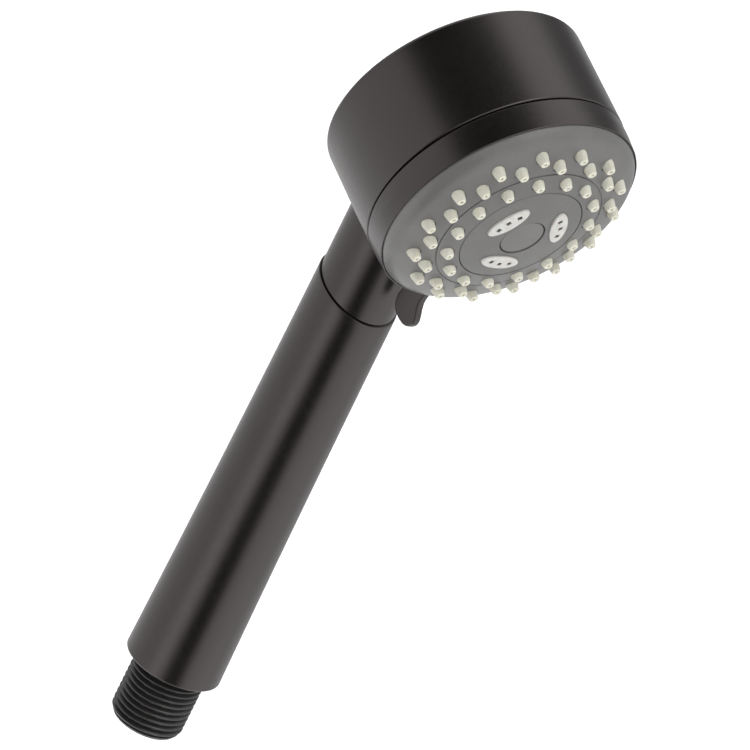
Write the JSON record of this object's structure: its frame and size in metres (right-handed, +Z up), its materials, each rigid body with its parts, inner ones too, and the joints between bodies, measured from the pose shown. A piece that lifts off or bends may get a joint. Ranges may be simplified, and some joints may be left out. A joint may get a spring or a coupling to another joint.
{
  "type": "handheld shower head",
  "caption": "Drum-shaped hand shower with a domed spray face of soft nozzles, a thumb tab that turns it between spray patterns, and a flared handle with a threaded inlet.",
  "frame": {"origin": "middle of the threaded inlet's end face, on the handle's axis", "axes": "+Z up along the handle towards the head; the spray face looks towards -Y and 18.8 degrees down; the YZ plane is the plane of symmetry of the outside"},
  "size_m": [0.0722, 0.0657, 0.2358],
  "materials": {
    "body_bronze": "satin dark bronze coating on moulded plastic",
    "thread_black": "glossy black moulded thread",
    "face_grey": "fine satin grey moulded plastic",
    "cap_grey": "fine satin warm grey moulded plastic",
    "nozzle_silicone": "cream silicone rubber",
    "insert_white": "off-white matt plastic",
    "inner_plastic": "natural white acetal",
    "black_rubber": "black nitrile rubber",
    "steel": "bright stainless steel"
  },
  "bodies": {
    "handset": {"head_housing": "body_bronze", "handle_tube": "body_bronze", "inlet_connector": "thread_black", "inlet_screen": "steel", "flow_regulator": "inner_plastic", "regulator_ring": "black_rubber", "check_valve_body": "inner_plastic", "check_valve_spring": "steel", "water_pipe": "inner_plastic", "pipe_o_ring_lower": "black_rubber", "pipe_o_ring_middle": "black_rubber", "pipe_o_ring_upper": "black_rubber", "water_manifold": "inner_plastic", "pivot_o_ring": "black_rubber", "face_screw": "steel", "face_screw_washer": "steel", "manifold_screw_1": "steel", "manifold_screw_2": "steel", "manifold_screw_3": "steel", "port_seal_spring": "steel", "detent_spring": "steel"},
    "spray_head": {"selector_ring": "body_bronze", "distributor_plate": "inner_plastic", "divider_plate": "inner_plastic", "nozzle_mat": "nozzle_silicone", "face_plate": "face_grey", "centre_disc": "face_grey", "centre_cap": "cap_grey", "massage_insert_1": "insert_white", "massage_insert_2": "insert_white", "massage_insert_3": "insert_white"},
    "turbine": {"massage_turbine": "inner_plastic"},
    "detent": {"detent_pin": "inner_plastic"},
    "port_cup": {"port_seal": "black_rubber"},
    "poppet": {"check_valve_poppet": "inner_plastic"}
  },
  "joints": [
    {"name": "spray_head_turn", "type": "hinge", "parent": "handset", "child": "spray_head", "pos_m": [0, 0, 0.2022], "axis": [0, -0.9466, -0.3223], "range_deg": [-30, 30]},
    {"name": "turbine_spin", "type": "hinge", "parent": "spray_head", "child": "turbine", "pos_m": [0, 0, 0.2022], "axis": [0, -0.9466, -0.3223], "continuous": true},
    {"name": "detent_pin_slide", "type": "slide", "parent": "handset", "child": "detent", "axis": [0, -0.9466, -0.3223], "range_m": [-0.0008, 0], "stiffness_N_per_m": 600, "springref_m": 0.002, "deforming": ["detent_spring"]},
    {"name": "port_seal_slide", "type": "slide", "parent": "handset", "child": "port_cup", "axis": [0, -0.9466, -0.3223], "range_m": [-0.0008, 0], "stiffness_N_per_m": 600, "springref_m": 0.002, "deforming": ["port_seal_spring"]},
    {"name": "check_valve_lift", "type": "slide", "parent": "handset", "child": "poppet", "axis": [0, 0, 1], "range_m": [0, 0.0025], "stiffness_N_per_m": 80, "springref_m": -0.003, "deforming": ["check_valve_spring"]}
  ]
}
